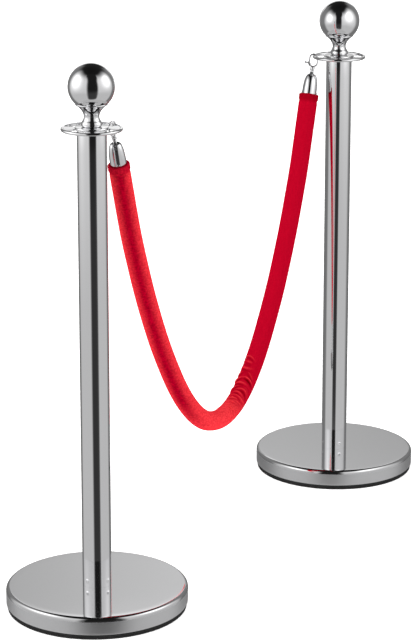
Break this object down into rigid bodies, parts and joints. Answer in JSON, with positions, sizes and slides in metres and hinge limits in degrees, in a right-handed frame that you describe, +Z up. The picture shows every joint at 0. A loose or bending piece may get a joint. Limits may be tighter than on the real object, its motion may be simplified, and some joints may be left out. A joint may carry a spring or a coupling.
{
  "type": "rope post set",
  "caption": "Ball-top posts with weighted round bases and slotted rope rings, joined by a velvet rope with bullet caps and snap hooks.",
  "frame": {"origin": "on the floor, midway between the axes of post A and post B", "axes": "+X from post A to post B, +Z up along the posts, with the rope hanging between them"},
  "size_m": [1.2, 0.32, 0.965],
  "materials": {
    "polished_steel": "polished",
    "base_steel": "polished",
    "chromed_zinc": "polished",
    "zinc_steel": "satin",
    "cement": "matte",
    "black_rubber": "matte",
    "black_plastic": "satin",
    "red_velvet": "matte",
    "foam": "matte"
  },
  "bodies": {
    "posts": {"ball_top_a": "polished_steel", "neck_a": "polished_steel", "rope_ring_a": "polished_steel", "top_stud_a": "zinc_steel", "stud_nut_a": "zinc_steel", "top_plug_a": "zinc_steel", "post_tube_a": "polished_steel", "bottom_plug_a": "zinc_steel", "base_cover_a": "base_steel", "base_weight_a": "cement", "base_washer_a": "zinc_steel", "base_bolt_a": "zinc_steel", "rubber_ring_a": "black_rubber", "ball_top_b": "polished_steel", "neck_b": "polished_steel", "rope_ring_b": "polished_steel", "top_stud_b": "zinc_steel", "stud_nut_b": "zinc_steel", "top_plug_b": "zinc_steel", "post_tube_b": "polished_steel", "bottom_plug_b": "zinc_steel", "base_cover_b": "base_steel", "base_weight_b": "cement", "base_washer_b": "zinc_steel", "base_bolt_b": "zinc_steel", "rubber_ring_b": "black_rubber"},
    "rope": {"velvet_sleeve": "red_velvet", "foam_core": "foam", "swivel_stud_a": "chromed_zinc", "clevis_pin_a": "zinc_steel", "end_cap_a": "chromed_zinc", "rope_plug_a": "black_plastic", "cap_rivet_a": "zinc_steel", "swivel_stud_b": "chromed_zinc", "clevis_pin_b": "zinc_steel", "end_cap_b": "chromed_zinc", "rope_plug_b": "black_plastic", "cap_rivet_b": "zinc_steel"},
    "hook_a": {"snap_hook_a": "chromed_zinc", "gate_pin_a": "zinc_steel", "gate_spring_a": "zinc_steel"},
    "hook_b": {"snap_hook_b": "chromed_zinc", "gate_pin_b": "zinc_steel", "gate_spring_b": "zinc_steel"},
    "gate_a": {"gate_lever_a": "chromed_zinc"},
    "gate_b": {"gate_lever_b": "chromed_zinc"}
  },
  "joints": [
    {"name": "rope_swing", "type": "hinge", "parent": "posts", "child": "rope", "pos_m": [-0.39062, -0.00782, 0.8546], "axis": [0.9981, 0.0613, 0], "range_deg": [-18, 18]},
    {"name": "hook_swivel_a", "type": "hinge", "parent": "rope", "child": "hook_a", "pos_m": [-0.39062, -0.00782, 0.853], "axis": [-0.2835, -0.0174, 0.9588], "range_deg": [-12, 12]},
    {"name": "hook_swivel_b", "type": "hinge", "parent": "rope", "child": "hook_b", "pos_m": [0.41204, 0.04145, 0.853], "axis": [0.2835, 0.0174, 0.9588], "range_deg": [-12, 12]},
    {"name": "gate_swing_a", "type": "hinge", "parent": "hook_a", "child": "gate_a", "pos_m": [-0.3794, -0.00892, 0.84253], "axis": [-0.1561, -0.9857, -0.064], "range_deg": [0, 25], "stiffness_Nm_per_rad": 0.02, "springref_deg": -17.19},
    {"name": "gate_swing_b", "type": "hinge", "parent": "hook_b", "child": "gate_b", "pos_m": [0.40416, 0.04786, 0.84145], "axis": [0.8033, 0.5418, -0.2473], "range_deg": [0, 25], "stiffness_Nm_per_rad": 0.02, "springref_deg": -17.19}
  ]
}
